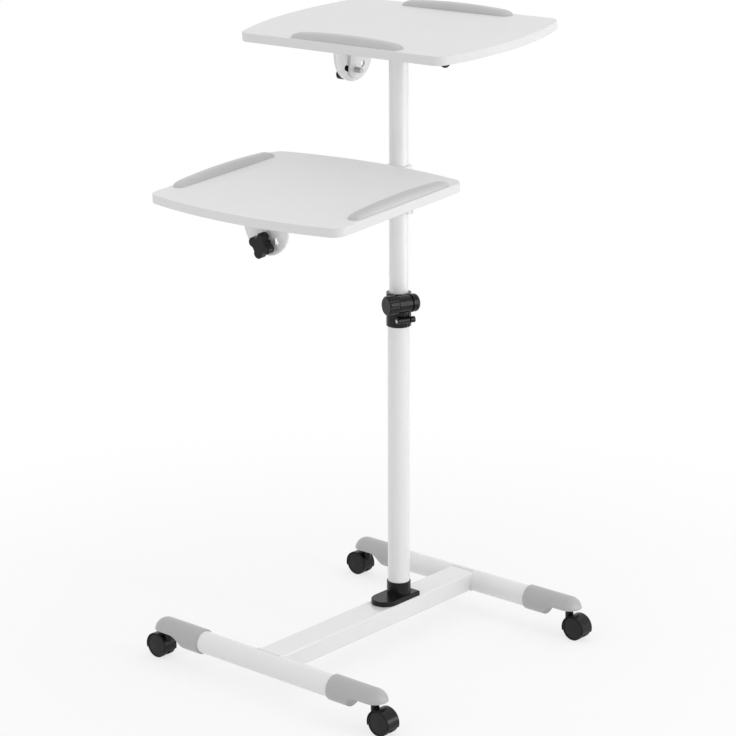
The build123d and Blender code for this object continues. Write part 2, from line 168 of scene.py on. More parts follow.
class StandFixings(bpy.types.PropertyGroup):
    """Sizes of the ridges, screws, nuts, threads and weld beads."""

    bolt_d: length("Tilt Bolt", "Diameter of the tilt bolts", 8 * MM)
    thread_pitch: length("Thread Pitch", "Pitch of the tilt bolts' thread", 1.25 * MM)
    thread_rise: length("Thread Rise", "Height of a thread's crest above the shank", 0.35 * MM)
    lug_rise: length("Lug Rise", "Height of the lug screw above the collar's lower end", 13 * MM)
    lug_out: length("Lug Reach", "Distance of the lug screw from the column's axis", 21.5 * MM)
    lug_half: length("Lug Half Length", "Half the length of the collar's lug", 15 * MM)
    lug_nut: length("Lug Nut", "Width across the flats of the lug's nut", 5.5 * MM)
    cleat_half: length("Cleat Half Width", "Half the width of the sleeve's cleat", 7 * MM)
    cleat_screw: length("Cleat Screw", "Diameter of the cleat screw's head", 7 * MM)
    cleat_rise: length("Cleat Screw Rise", "Height of the cleat screw above the sleeve's lower end", 11 * MM)
    base_bolt: length("Base Bolt", "Width across the flats of the bolt under the column", 13 * MM)
    base_washer: length("Base Washer", "Diameter of the washer under the column", 24 * MM)
    board_screw: length("Board Screw", "Diameter of the heads of the screws under the boards", 8 * MM)
    cap_rim: length("Cap Rim", "Diameter of the rim on the upper bar's end cap", 29 * MM)
    bracket_t: length("Bracket Thickness", "Thickness of the folded brackets", 4 * MM)
    flange: length("Flange", "Depth of the brackets' folded edges", 22 * MM)
    ear_foot: length("Ear Foot", "Width of one of the ear's folded feet", 16 * MM)
    ridge_end: length("Ridge End", "Height of a ridge near its ends", 7.5 * MM)
    ridge_round: length("Ridge Rounding", "Radius of a ridge's upper edges", 8 * MM)
    ridge_fall: length("Ridge Fall", "Length over which a ridge's ends fall to the board", 18 * MM)
    ridge_pitch: length("Ridge Screw Pitch", "Distance between the two screws of a ridge", 120 * MM)
    bead: length("Weld Bead", "Radius of the weld beads", 1.7 * MM)
    ripple: length("Weld Ripple", "Length of one ripple along a weld bead", 3.2 * MM)


class StandStage(bpy.types.PropertyGroup):
    """Light, floor and camera."""

    horizon: strength("Horizon", "Strength of the even light from the side", 0.57)
    zenith: strength("Zenith", "Strength of the even light from above", 1.00)
    key: power("Key", "Power of the tall soft light on the right", 12.0)
    key_place: lamp_place("Key Place", "Middle of the tall soft light on the right", (2.2, 0.50, 1.05))
    key_panel: lamp_panel("Key Panel", "Width and height of the light on the right", (0.30, 2.0))
    strip: power("Strip", "Power of the narrow light in front on the left", 3.2)
    strip_place: lamp_place("Strip Place", "Middle of the narrow light in front", (-0.55, -2.1, 0.95))
    strip_panel: lamp_panel("Strip Panel", "Width and height of the narrow light in front", (0.20, 1.7))
    rim: power("Rim", "Power of the soft light behind on the right", 5.0)
    rim_place: lamp_place("Rim Place", "Middle of the soft light behind", (1.85, 1.45, 0.40))
    rim_panel: lamp_panel("Rim Panel", "Width and height of the soft light behind", (0.30, 0.9))
    aim: length("Aim", "Height on the column that the three lights are turned to", 0.6)
    veil: share("Floor Veil", "How much of the floor's shading is veiled by white near the stand", 0.72)
    floor: length("Floor", "Width of the floor", 24.0)
    floor_tone: colour("Floor Tone", "Colour of the floor", (0.88, 0.88, 0.88))
    fade_start: length("Fade Start", "Distance from the middle where the floor starts to fade", 0.35)
    fade_end: length("Fade End", "Distance from the middle where the floor has faded to white", 1.3)
    yaw: angle("Yaw", "Camera's turn about the vertical", 40.82)
    pitch: angle("Pitch", "Camera's tilt below the horizon", 16.05)
    roll: angle("Roll", "Camera's turn about its own line of sight", -0.21)
    camera_x: length("Camera X", "Camera's place to the right of the column", 2.3461)
    camera_y: FloatProperty(name="Camera Y", description="Camera's place behind the column", default=-2.7895,
                            unit="LENGTH")
    camera_z: length("Camera Z", "Camera's height above the floor", 1.4941)
    focal: FloatProperty(name="Focal Length", description="Camera's focal length in pixels of the picture",
                         default=2431.0, subtype="PIXEL")
    picture: IntProperty(name="Picture", description="Width of the picture", default=736, subtype="PIXEL")


# Shader node groups that the finishes share

def new_group(name, inputs, outputs):
    group = bpy.data.node_groups.new(name, "ShaderNodeTree")
    for title, kind, default in inputs:
        socket = group.interface.new_socket(name=title, in_out="INPUT", socket_type=kind)
        socket.default_value = default
    for title, kind in outputs:
        group.interface.new_socket(name=title, in_out="OUTPUT", socket_type=kind)
    return group, group.nodes.new("NodeGroupInput"), group.nodes.new("NodeGroupOutput")


def feed(tree, node, values):
    """Gives a node's inputs their values in order: a socket is linked, anything else is set."""
    for socket, value in zip(node.inputs, values):
        if isinstance(value, bpy.types.NodeSocket):
            tree.links.new(value, socket)
        else:
            socket.default_value = value


def math_node(tree, operation, *values):
    node = tree.nodes.new("ShaderNodeMath")
    node.operation = operation
    feed(tree, node, values)
    return node.outputs[0]


def vector_node(tree, operation, *values):
    node = tree.nodes.new("ShaderNodeVectorMath")
    node.operation = operation
    feed(tree, node, values)
    return node


def coordinates(tree, kind):
    return tree.nodes.new("ShaderNodeTexCoord").outputs[kind]


def noise(tree, place, scale, detail):
    """Noise with features of about one over the scale."""
    node = tree.nodes.new("ShaderNodeTexNoise")
    node.inputs["Detail"].default_value = detail
    node.inputs["Roughness"].default_value = 0.55
    tree.links.new(place, node.inputs["Vector"])
    tree.links.new(scale, node.inputs["Scale"])
    return node.outputs["Fac"]


def drift_group():
    """Colour that wanders slowly about a given tone, as coats and mouldings do."""
    group, inside, outside = new_group(
        "Tone Drift",
        [("Color", "NodeSocketColor", (0.8, 0.8, 0.8, 1.0)), ("Amount", "NodeSocketFloat", 0.04),
         ("Size", "NodeSocketFloat", 0.09)],
        [("Color", "NodeSocketColor")])
    fine_rate = 24.0
    # Each noise averages about a half, so these weights let the swing average about 0
    slow_weight = 1.6
    fine_weight = 0.4
    place = coordinates(group, "Object")
    slow_scale = math_node(group, "DIVIDE", 1.0, inside.outputs["Size"])
    slow = noise(group, place, slow_scale, detail=3.0)
    fine_scale = math_node(group, "DIVIDE", fine_rate, inside.outputs["Size"])
    fine = noise(group, place, fine_scale, detail=2.0)
    weighed = math_node(group, "MULTIPLY", slow, slow_weight)
    both = math_node(group, "MULTIPLY_ADD", fine, fine_weight, weighed)
    swing = math_node(group, "SUBTRACT", both, 1.0)
    factor = math_node(group, "MULTIPLY_ADD", swing, inside.outputs["Amount"], 1.0)
    scale = vector_node(group, "SCALE", inside.outputs["Color"])
    group.links.new(factor, scale.inputs["Scale"])
    group.links.new(scale.outputs[0], outside.inputs["Color"])
    return group


def grain_group():
    """Fine rounded grain for bump, and a roughness that varies in larger patches."""
    group, inside, outside = new_group(
        "Fine Grain",
        [("Size", "NodeSocketFloat", 0.001), ("Roughness", "NodeSocketFloat", 0.4),
         ("Spread", "NodeSocketFloat", 0.1)],
        [("Height", "NodeSocketFloat"), ("Roughness", "NodeSocketFloat")])
    cell_weight = -0.5
    patch_rate = 0.03
    place = coordinates(group, "Object")
    rate = math_node(group, "DIVIDE", 1.0, inside.outputs["Size"])
    cells = group.nodes.new("ShaderNodeTexVoronoi")
    cells.feature = "SMOOTH_F1"
    group.links.new(place, cells.inputs["Vector"])
    group.links.new(rate, cells.inputs["Scale"])
    swirl = noise(group, place, rate, detail=2.0)
    height = math_node(group, "MULTIPLY_ADD", cells.outputs["Distance"], cell_weight, swirl)
    patch = noise(group, place, math_node(group, "MULTIPLY", rate, patch_rate), detail=3.0)
    lean = math_node(group, "SUBTRACT", patch, 0.5)
    rough = math_node(group, "MULTIPLY_ADD", lean, inside.outputs["Spread"], inside.outputs["Roughness"])
    group.links.new(height, outside.inputs["Height"])
    group.links.new(rough, outside.inputs["Roughness"])
    return group


def axis_group():
    """Distance along an axis and out from it, for finishes that follow a shaft or a wheel."""
    group, inside, outside = new_group(
        "Axis Distance",
        [("Origin", "NodeSocketVector", (0.0, 0.0, 0.0)), ("Axis", "NodeSocketVector", (0.0, 0.0, 1.0))],
        [("Along", "NodeSocketFloat"), ("Radius", "NodeSocketFloat")])
    place = coordinates(group, "Object")
    offset = vector_node(group, "SUBTRACT", place, inside.outputs["Origin"]).outputs[0]
    along = vector_node(group, "DOT_PRODUCT", offset, inside.outputs["Axis"])
    across = vector_node(group, "CROSS_PRODUCT", offset, inside.outputs["Axis"])
    radius = vector_node(group, "LENGTH", across.outputs[0])
    group.links.new(along.outputs["Value"], outside.inputs["Along"])
    group.links.new(radius.outputs["Value"], outside.inputs["Radius"])
    return group


def place_group(tree, name, build, **values):
    """Places the named group with its own values. It is built the first time that it is asked for."""
    node = tree.nodes.new("ShaderNodeGroup")
    node.node_tree = bpy.data.node_groups.get(name) or build()
    for title, value in values.items():
        node.inputs[title].default_value = value
    return node


# Finishes

def opaque(tone):
    return (tone[0], tone[1], tone[2], 1.0)


def new_finish(name):
    material = bpy.data.materials.new(name)
    material.use_nodes = True
    return material, material.node_tree, material.node_tree.nodes["Principled BSDF"]


def bump(tree, shader, height, depth):
    node = tree.nodes.new("ShaderNodeBump")
    node.inputs["Strength"].default_value = 1.0
    node.inputs["Distance"].default_value = depth
    tree.links.new(height, node.inputs["Height"])
    tree.links.new(node.outputs["Normal"], shader.inputs["Normal"])


def raise_height(tree, shader, extra):
    """Adds to the height that a finish already bumps by."""
    node = shader.inputs["Normal"].links[0].from_node
    grain = node.inputs["Height"].links[0].from_socket
    tree.links.new(math_node(tree, "ADD", grain, extra), node.inputs["Height"])


def grained_finish(name, tone, drift, size, grain, depth, roughness, spread):
    """A tone that drifts, under a fine grain. The other finishes start from this one."""
    material, tree, shader = new_finish(name)
    drifting = place_group(tree, "Tone Drift", drift_group, Color=opaque(tone), Amount=drift, Size=size)
    grained = place_group(tree, "Fine Grain", grain_group, Size=grain, Roughness=roughness, Spread=spread)
    tree.links.new(drifting.outputs["Color"], shader.inputs["Base Color"])
    tree.links.new(grained.outputs["Roughness"], shader.inputs["Roughness"])
    bump(tree, shader, grained.outputs["Height"], depth)
    return material, tree, shader


def band(tree, shader, mask, tone):
    """Another tone where the mask is 1."""
    # For colours, a Mix node takes its factor at 0 and the two colours at 6 and 7, and gives the mix at 2
    tint = tree.nodes.new("ShaderNodeMix")
    tint.data_type = "RGBA"
    tint.inputs[7].default_value = opaque(tone)
    tree.links.new(mask, tint.inputs[0])
    tree.links.new(shader.inputs["Base Color"].links[0].from_socket, tint.inputs[6])
    tree.links.new(tint.outputs[2], shader.inputs["Base Color"])


def white_coat(finish):
    """Powder coat with a faint orange peel under a clear gloss."""
    material, _, shader = grained_finish(
        "White Powder Coat", finish.white_coat, drift=0.03, size=finish.drift_size,
        grain=finish.coat_grain, depth=0.012 * MM, roughness=0.34, spread=0.12)
    shader.inputs["Coat Weight"].default_value = 0.8
    shader.inputs["Coat Roughness"].default_value = 0.08
    return material


def laminate(finish, node):
    """Pale laminate on the faces of a board, and round its edge a darker band that is partly the edge band's own
    tone and partly painted shade on the board's sides.
    """
    material, tree, shader = grained_finish(
        "Laminate " + node, finish.laminate, drift=0.025, size=finish.drift_size,
        grain=finish.laminate_grain, depth=0.008 * MM, roughness=0.50, spread=0.10)
    shader.inputs["Specular IOR Level"].default_value = 0.35
    up = MOUNTS[node.replace("board", "shelf_top")]["axis"]
    upright = vector_node(tree, "DOT_PRODUCT", coordinates(tree, "Normal"), up).outputs["Value"]
    edge = math_node(tree, "LESS_THAN", math_node(tree, "ABSOLUTE", upright), EDGE_COSINE)
    # Faces whose normal leans away from the board's upright take the darker tone: the edge band's colour plus
    # painted shade on the sides
    band(tree, shader, edge, finish.edge_band_and_shade)
    return material


def grey_plastic(finish, name, tone):
    material, _, _ = grained_finish(
        name, tone, drift=0.06, size=finish.drift_size,
        grain=finish.mould_grain, depth=0.02 * MM, roughness=0.34, spread=0.12)
    return material


def black_plastic(finish, name):
    material, tree, shader = grained_finish(
        name, finish.black_plastic, drift=0.20, size=finish.drift_size,
        grain=finish.mould_grain, depth=0.015 * MM, roughness=0.24, spread=0.10)
    shader.inputs["Specular IOR Level"].default_value = 0.22
    return material, tree, shader


def knob_plastic(finish, node, joint):
    """Black plastic, with bare zinc on the shank that the knob turns."""
    material, tree, shader = black_plastic(finish, "Knob " + node)
    shaft = place_group(tree, "Axis Distance", axis_group, Origin=joint["pos_m"], Axis=joint["axis"])
    bare = math_node(tree, "LESS_THAN", shaft.outputs["Along"], 0.0)
    band(tree, shader, bare, finish.zinc)
    tree.links.new(bare, shader.inputs["Metallic"])
    return material


def wheel_plastic(finish, corner):
    """Nylon wheel: a duller tread than its faces, with faint moulding rings on them."""
    joint = JOINTS["roll_" + corner]
    material, tree, shader = grained_finish(
        "Wheel " + corner, finish.wheel_plastic, drift=0.20, size=finish.drift_size,
        grain=finish.mould_grain, depth=0.012 * MM, roughness=0.24, spread=0.10)
    shader.inputs["Specular IOR Level"].default_value = 0.24
    wheel = place_group(tree, "Axis Distance", axis_group, Origin=joint["pos_m"], Axis=joint["axis"])
    wheel_r = joint["pos_m"][2]
    tread = math_node(tree, "GREATER_THAN", wheel.outputs["Radius"], wheel_r - TREAD_DEPTH)
    grain = shader.inputs["Roughness"].links[0].from_socket
    tree.links.new(math_node(tree, "MULTIPLY_ADD", tread, TREAD_WEAR, grain), shader.inputs["Roughness"])
    wave = math_node(tree, "SINE", math_node(tree, "MULTIPLY", wheel.outputs["Radius"], TURN / RING_PITCH))
    crest = math_node(tree, "GREATER_THAN", wave, RING_CREST)
    raise_height(tree, shader, math_node(tree, "MULTIPLY", crest, math_node(tree, "SUBTRACT", 1.0, tread)))
    return material


def zinc(finish):
    material, _, shader = grained_finish(
        "Zinc Plate", finish.zinc, drift=0.16, size=finish.zinc_drift,
        grain=finish.mould_grain, depth=0.01 * MM, roughness=0.30, spread=0.20)
    shader.inputs["Metallic"].default_value = 1.0
    return material


def finish_nodes(material, nodes):
    for node in nodes:
        mesh = frame["nodes"][node].data
        mesh.materials.clear()
        mesh.materials.append(material)


def finish_named(name):
    material = bpy.data.materials.get(name)
    if material is None:
        raise RuntimeError("The finish " + name + " has to be made first")
    return material


def nodes_in(slot):
    return [node for node, named in SLOT_OF.items() if named == slot]


# Mesh helpers: pieces are skinned from rings of points

def facing(point, axis):
    """Frame at a point with its Z along the axis."""
    turn = Vector(axis).to_track_quat("Z", "Y")
    return Matrix.Translation(Vector(point)) @ turn.to_matrix().to_4x4()


def shelf_frame(shelf):
    """Frame of a shelf: from its pivot, X along the pivot and Z up through the board."""
    joint = JOINTS[shelf + "_tilt"]
    up = Vector(MOUNTS[shelf + "_shelf_top"]["axis"])
    along = Vector(joint["axis"])
    turn = Matrix((along, up.cross(along), up)).transposed()
    return Matrix.Translation(joint["pos_m"]) @ turn.to_4x4()


def extent(place, node):
    """Lowest and highest corners of a node, measured along the axes of a frame."""
    back = place.inverted()
    points = [back @ vertex.co for vertex in frame["nodes"][node].data.vertices]
    return (Vector([min(point[i] for point in points) for i in range(3)]),
            Vector([max(point[i] for point in points) for i in range(3)]))


def skin(bm, rings, closed=False):
    """Faces between rings of points. A ring of one point is a pole."""
    made = [[bm.verts.new(point) for point in ring] for ring in rings]
    if closed:
        made.append(made[0])
    for low, high in zip(made, made[1:]):
        steps = max(len(low), len(high))
        for i in range(steps):
            j = (i + 1) % steps
            corners = (low[i % len(low)], low[j % len(low)], high[j % len(high)], high[i % len(high)])
            bm.faces.new(dict.fromkeys(corners))


def polar(place, reach, turn, height):
    """Point at an angle round the Z of a frame, out from it by the reach."""
    return place @ Vector((reach * math.cos(turn), reach * math.sin(turn), height))


def ring(place, radius, height, steps):
    """Points round the Z of a frame. The radius is a number or a function of the angle."""
    points = []
    for i in range(steps):
        turn = TURN * i / steps
        reach = radius(turn) if callable(radius) else radius
        points.append(polar(place, reach, turn, height))
    return points


def lathe(bm, place, profile, steps):
    """A closed solid of rings. Each row of the profile is a radius, as for ring, and a height."""
    rings = [[place @ Vector((0, 0, profile[0][1]))]]
    rings += [ring(place, radius, height, steps) for radius, height in profile]
    rings.append([place @ Vector((0, 0, profile[-1][1]))])
    skin(bm, rings)


def hexagon(across):
    def reach(turn):
        return across / 2 / math.cos((turn + math.pi / 6) % (math.pi / 3) - math.pi / 6)
    return reach


def cross(radius):
    core = 0.34
    narrowing = 8

    def reach(turn):
        return radius * (core + (1 - core) * abs(math.cos(2 * turn)) ** narrowing)
    return reach


def hex_head(bm, place, across, height):
    """Hexagon with the round chamfer that turning leaves on its top."""
    flat = 0.95 * across / 2
    fall = math.tan(math.radians(30))
    outline = hexagon(across)
    shoulder = []
    for i in range(HEX_STEPS):
        turn = TURN * i / HEX_STEPS
        reach = outline(turn)
        shoulder.append(polar(place, reach, turn, height - (reach - flat) * fall))
    rings = [[place.translation], ring(place, outline, 0.0, HEX_STEPS), shoulder]
    rings += [ring(place, flat, height, HEX_STEPS), [place @ Vector((0, 0, height))]]
    skin(bm, rings)


def socket_head(bm, place, diameter, height):
    """Domed screw head with a hexagon socket."""
    radius = diameter / 2
    socket = hexagon(0.5 * diameter)
    profile = [(out * radius, rise * height) for out, rise in SOCKET_DOME]
    lathe(bm, place, profile + [(socket, height), (socket, 0.35 * height)], SOCKET_STEPS)


def cross_head(bm, place, diameter):
    """Low domed screw head with a cross recess."""
    radius = diameter / 2
    height = 0.3 * diameter
    recess = cross(0.55 * radius)
    tip = cross(0.3 * radius)
    profile = [(out * radius, rise * height) for out, rise in CROSS_DOME]
    lathe(bm, place, profile + [(recess, height), (tip, 0.2 * height)], ROUND_STEPS)


def washer(bm, place, diameter, height):
    radius = diameter / 2
    edge = 0.25 * height
    profile = [(radius - edge, 0), (radius, edge), (radius, height - edge), (radius - edge, height)]
    lathe(bm, place, profile, ROUND_STEPS)


def thread(bm, place, radius, rise, pitch, start, end):
    """One helical crest from start to end, running out into the shank at both ends."""
    total = int((end - start - pitch) / pitch * THREAD_STEPS)
    half = 0.45 * pitch
    root = radius - 0.10 * MM
    run_out = radius - 0.05 * MM
    rings = []
    for i in range(total + 1):
        turn = TURN * i / THREAD_STEPS
        height = start + pitch / 2 + pitch * i / THREAD_STEPS
        grow = min(1.0, i / THREAD_STEPS, (total - i) / THREAD_STEPS)
        crest = run_out + (radius + rise - run_out) * grow
        section = ((root, -half), (crest, -half / 4), (crest, half / 4), (root, half))
        rings.append([polar(place, reach, turn, height + shift) for reach, shift in section])
    skin(bm, rings)


def end_round(x, half, run):
    """1 along a bar, and down to 0 by a quarter of an ellipse over the run at each end."""
    return math.sqrt(1 - (max(abs(x) - half + run, 0.0) / run) ** 2)


def ridge_hump(bm, place, size, end_rise, edge, fall):
    """A hump of a given size, arched along the X of a frame, rounded across, with round ends."""
    half = size.x / 2
    side = size.y / 2
    quarter = [math.pi / 2 * k / RIDGE_BEND_STEPS for k in range(RIDGE_BEND_STEPS + 1)]
    rings = [[place @ Vector((-half, 0, 0))]]
    for i in range(1, RIDGE_STATIONS):
        x = -half * math.cos(math.pi * i / RIDGE_STATIONS)
        reach = side * end_round(x, half, side)
        arch = end_rise + (size.z - end_rise) * (1 - (x / half) ** 2)
        top = arch * end_round(x, half, fall)
        bend = min(edge, reach, top)
        row = [(reach - bend + bend * math.cos(turn), top - bend + bend * math.sin(turn))
               for turn in quarter]
        row = [(reach, 0.0)] + row + [(-y, z) for y, z in reversed(row)] + [(-reach, 0.0)]
        rings.append([place @ Vector((x, y, z)) for y, z in row])
    rings.append([place @ Vector((half, 0, 0))])
    skin(bm, rings)


def weld(bm, path, radius, ripple, closed=True):
    """A rippled bead along a path, with its ends closed where the path is open."""
    count = len(path)
    turns = [TURN * k / BEAD_STEPS for k in range(BEAD_STEPS)]
    run = 0.0
    rings = []
    for i, point in enumerate(path):
        ahead = path[(i + 1) % count] if closed or i + 1 < count else point
        behind = path[i - 1] if closed or i else point
        heading = (ahead - behind).normalized()
        side = heading.orthogonal() if not rings else (side - heading * side.dot(heading))
        side.normalize()
        other = heading.cross(side)
        swell = radius * (1 + BEAD_SWELL * math.sin(TURN * run / ripple))
        rings.append([point + (side * math.cos(turn) + other * math.sin(turn)) * swell for turn in turns])
        run += (ahead - point).length
    if not closed:
        rings = [[path[0]]] + rings + [[path[-1]]]
    skin(bm, rings, closed)


def new_piece(name, bm, body, material):
    """Turns a mesh into a piece that rides on a body and takes the finish that it is given."""
    bmesh.ops.recalc_face_normals(bm, faces=bm.faces)
    mesh = bpy.data.meshes.new(name)
    bm.to_mesh(mesh)
    bm.free()
    mesh.shade_smooth()
    mesh.set_sharp_from_angle(angle=SHARP_EDGE)
    mesh.materials.append(material)
    piece = bpy.data.objects.new(name, mesh)
    bpy.context.scene.collection.objects.link(piece)
    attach(piece, body)
    return piece


# Operators

class STAND_OT_white_metal(bpy.types.Operator):
    """Powder coat the tubes, brackets and sleeve"""

    bl_idname = "stand.white_metal"
    bl_label = "White Metal"

    def execute(self, context):
        finish_nodes(white_coat(context.scene.stand_finishes), nodes_in("white_tube"))
        return {"FINISHED"}


class STAND_OT_boards(bpy.types.Operator):
    """Face the two boards with pale laminate"""

    bl_idname = "stand.boards"
    bl_label = "Boards"

    def execute(self, context):
        for node in nodes_in("board"):
            finish_nodes(laminate(context.scene.stand_finishes, node), [node])
        return {"FINISHED"}


class STAND_OT_end_caps(bpy.types.Operator):
    """Finish the rails' end caps"""

    bl_idname = "stand.end_caps"
    bl_label = "End Caps"

    def execute(self, context):
        finish = context.scene.stand_finishes
        material = grey_plastic(finish, "Cap Plastic", finish.cap_plastic)
        finish_nodes(material, ["cap_" + corner for corner in CORNERS])
        return {"FINISHED"}


class STAND_OT_ridges(bpy.types.Operator):
    """Arch the boards' ridges along their length and round their edges and ends"""

    bl_idname = "stand.ridges"
    bl_label = "Ridges"

    def execute(self, context):
        finish = context.scene.stand_finishes
        fixings = context.scene.stand_fixings
        material = grey_plastic(finish, "Ridge Plastic", finish.ridge_plastic)
        for shelf, nodes in RIDGES.items():
            place = shelf_frame(shelf)
            for node in nodes:
                finish_nodes(material, [node])
                low, high = extent(place, node)
                foot = place @ Matrix.Translation(((low.x + high.x) / 2, (low.y + high.y) / 2, low.z))
                bm = bmesh.new()
                ridge_hump(bm, foot, high - low, fixings.ridge_end, fixings.ridge_round, fixings.ridge_fall)
                piece = new_piece(node + "_arch", bm, shelf + "_shelf", material)
                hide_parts(node)
        return {"FINISHED"}


class STAND_OT_black_mouldings(bpy.types.Operator):
    """Finish the black mouldings, bare the tilt knobs' shanks and add the rim of the bar's end cap"""

    bl_idname = "stand.black_mouldings"
    bl_label = "Black Mouldings"

    def execute(self, context):
        finish = context.scene.stand_finishes
        material, _, _ = black_plastic(finish, "Black Plastic")
        finish_nodes(material, nodes_in("black_plastic"))
        for node, joint in KNOBS.items():
            finish_nodes(knob_plastic(finish, node, JOINTS[joint]), [node])
        low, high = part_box("upper_end_cap")
        middle = Vector((high.x, (low.y + high.y) / 2, (low.z + high.z) / 2))
        rim = context.scene.stand_fixings.cap_rim
        rim_depth = 0.1 * rim
        bm = bmesh.new()
        washer(bm, facing(middle, (1, 0, 0)), rim, rim_depth)
        new_piece("upper_end_cap_rim", bm, "mast", material)
        return {"FINISHED"}


class STAND_OT_wheels(bpy.types.Operator):
    """Finish the caster wheels"""

    bl_idname = "stand.wheels"
    bl_label = "Wheels"

    def execute(self, context):
        for corner in CORNERS:
            finish_nodes(wheel_plastic(context.scene.stand_finishes, corner), ["wheels_" + corner])
        return {"FINISHED"}


class STAND_OT_steel(bpy.types.Operator):
    """Plate the pivot pins and thread the ends of the tilt bolts"""

    bl_idname = "stand.steel"
    bl_label = "Pins and Threads"

    def execute(self, context):
        fixings = context.scene.stand_fixings
        material = zinc(context.scene.stand_finishes)
        finish_nodes(material, nodes_in("steel"))
        # The two heads are alike, and the upper one lies along X, so it gives the ends of both threads
        face_x = JOINTS["upper_tilt_screw"]["pos_m"][0]
        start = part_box("upper_tab")[1].x - face_x
        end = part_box("upper_knob")[1].x - face_x
        for node, name in KNOBS.items():
            joint = JOINTS[name]
            place = facing(joint["pos_m"], -Vector(joint["axis"]))
            bm = bmesh.new()
            thread(bm, place, fixings.bolt_d / 2, fixings.thread_rise, fixings.thread_pitch, start, end)
            new_piece(node + "_thread", bm, joint["child"], material)
        return {"FINISHED"}


class STAND_OT_clamp_screws(bpy.types.Operator):
    """Add the collar's lug screw and nut, and the sleeve's cleat screw and nut"""

    bl_idname = "stand.clamp_screws"
    bl_label = "Clamp Screws"

    def execute(self, context):
        fixings = context.scene.stand_fixings
        self.lug_screw(fixings, finish_named("Zinc Plate"))
        self.cleat_screw(fixings, finish_named("Zinc Plate"))
        return {"FINISHED"}

    def lug_screw(self, fixings, material):
        joint = JOINTS["clamp_screw"]
        axis = Vector(joint["axis"])
        out = Vector(joint["pos_m"]) - COLUMN
        out.z = 0
        middle = COLUMN + out.normalized() * fixings.lug_out
        middle.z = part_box("collar")[0].z + fixings.lug_rise
        nut_height = 0.35 * fixings.lug_nut
        head_height = 0.3 * fixings.lug_nut
        bm = bmesh.new()
        hex_head(bm, facing(middle - axis * fixings.lug_half, -axis), fixings.lug_nut, nut_height)
        socket_head(bm, facing(middle + axis * fixings.lug_half, axis), fixings.lug_nut, head_height)
        new_piece("collar_lug_screw", bm, "base", material)

    def cleat_screw(self, fixings, material):
        low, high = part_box("lower_sleeve")
        across = Vector((0, 1, 0))
        middle = Vector((high.x - fixings.cleat_screw / 2, COLUMN.y, low.z + fixings.cleat_rise))
        height = 0.5 * fixings.cleat_screw
        bm = bmesh.new()
        socket_head(bm, facing(middle - across * fixings.cleat_half, -across), fixings.cleat_screw, height)
        hex_head(bm, facing(middle + across * fixings.cleat_half, across), fixings.cleat_screw, height)
        new_piece("sleeve_cleat_screw", bm, "lower_arm", material)


class STAND_OT_base_bolt(bpy.types.Operator):
    """Add the bolt and washer that hold the column down through the crossbar"""

    bl_idname = "stand.base_bolt"
    bl_label = "Base Bolt"

    def execute(self, context):
        fixings = context.scene.stand_fixings
        under = Vector((COLUMN.x, COLUMN.y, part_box("crossbar")[0].z))
        place = facing(under, (0, 0, -1))
        thick = 0.08 * fixings.base_washer
        head_height = 0.42 * fixings.base_bolt
        bm = bmesh.new()
        washer(bm, place, fixings.base_washer, thick)
        hex_head(bm, place @ Matrix.Translation((0, 0, thick)), fixings.base_bolt, head_height)
        new_piece("base_bolt", bm, "base", finish_named("Zinc Plate"))
        return {"FINISHED"}


class STAND_OT_board_screws(bpy.types.Operator):
    """Add the screws that hold the brackets and the ridges from under the boards"""

    bl_idname = "stand.board_screws"
    bl_label = "Board Screws"

    def execute(self, context):
        fixings = context.scene.stand_fixings
        for shelf, ridges in RIDGES.items():
            place = shelf_frame(shelf)
            spots = self.bracket_spots(place, shelf, fixings)
            spots += self.ridge_spots(place, shelf, ridges, fixings)
            bm = bmesh.new()
            for spot in spots:
                down = place @ Matrix.Translation(spot) @ Matrix.Rotation(math.pi, 4, "X")
                cross_head(bm, down, fixings.board_screw)
            new_piece(shelf + "_board_screws", bm, shelf + "_shelf", finish_named("Zinc Plate"))
        return {"FINISHED"}

    def bracket_spots(self, place, shelf, fixings):
        """Two screws through the plate's flange and one through each of the ear's feet."""
        under = extent(place, shelf + "_board")[0].z - fixings.bracket_t
        plate_low, plate_high = extent(place, shelf + "_plate")
        ear_high = extent(place, shelf + "_ear")[1]
        plate_out = plate_high.y * 2 / 3
        ear_out = ear_high.y - fixings.ear_foot / 2
        spots = []
        for side in (-1, 1):
            spots.append(Vector((plate_low.x + fixings.flange / 2, side * plate_out, under)))
            spots.append(Vector((ear_high.x - fixings.flange / 2, side * ear_out, under)))
        return spots

    def ridge_spots(self, place, shelf, ridges, fixings):
        """Two screws into each ridge, through the board."""
        under = extent(place, shelf + "_board")[0].z
        spots = []
        for node in ridges:
            low, high = extent(place, node)
            for end in (-1, 1):
                x = (low.x + high.x + end * fixings.ridge_pitch) / 2
                spots.append(Vector((x, (low.y + high.y) / 2, under)))
        return spots


